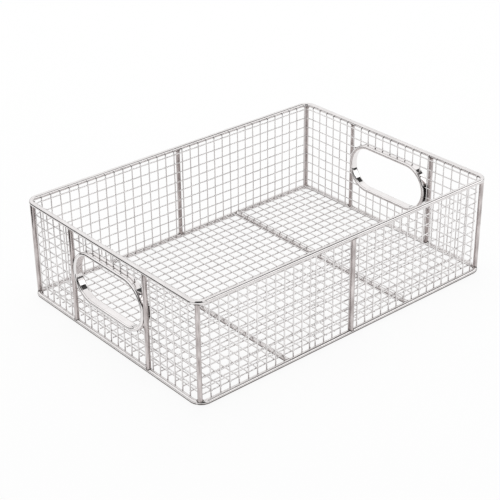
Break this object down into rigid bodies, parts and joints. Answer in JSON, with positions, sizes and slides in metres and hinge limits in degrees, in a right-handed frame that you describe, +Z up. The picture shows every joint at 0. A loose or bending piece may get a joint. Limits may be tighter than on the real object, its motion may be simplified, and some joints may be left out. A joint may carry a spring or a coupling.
{
  "type": "autoclave basket",
  "caption": "Open rectangular wire mesh basket with round rod rims, corner and side posts, floor bars and a long grip ring in each end wall.",
  "frame": {"origin": "on the ground, at the middle of the basket's footprint", "axes": "+X along the length towards the right-hand grip, +Y to the back wall (the lapped seam is in the front wall), +Z up"},
  "size_m": [0.35, 0.25, 0.1],
  "materials": {
    "frame_rod": "electropolished round rod",
    "grip_bar": "polished bar with rounded edges",
    "mesh_wire": "electropolished drawn wire"
  },
  "bodies": {
    "root": {"bottom_rim": "frame_rod", "corner_post_back_left": "frame_rod", "corner_post_back_right": "frame_rod", "corner_post_front_left": "frame_rod", "corner_post_front_right": "frame_rod", "floor_bar_left": "frame_rod", "floor_bar_right": "frame_rod", "floor_wires_cross": "mesh_wire", "floor_wires_long": "mesh_wire", "grip_post_left_back": "frame_rod", "grip_post_left_front": "frame_rod", "grip_post_right_back": "frame_rod", "grip_post_right_front": "frame_rod", "grip_ring_left": "grip_bar", "grip_ring_right": "grip_bar", "hoop_1": "mesh_wire", "hoop_2": "mesh_wire", "hoop_3": "mesh_wire", "hoop_4": "mesh_wire", "hoop_5": "mesh_wire", "hoop_6": "mesh_wire", "hoop_7": "mesh_wire", "hoop_8": "mesh_wire", "hoop_9": "mesh_wire", "side_post_back": "frame_rod", "side_post_front": "frame_rod", "top_rim": "frame_rod", "uprights_back": "mesh_wire", "uprights_front": "mesh_wire", "uprights_left": "mesh_wire", "uprights_right": "mesh_wire"}
  },
  "joints": []
}
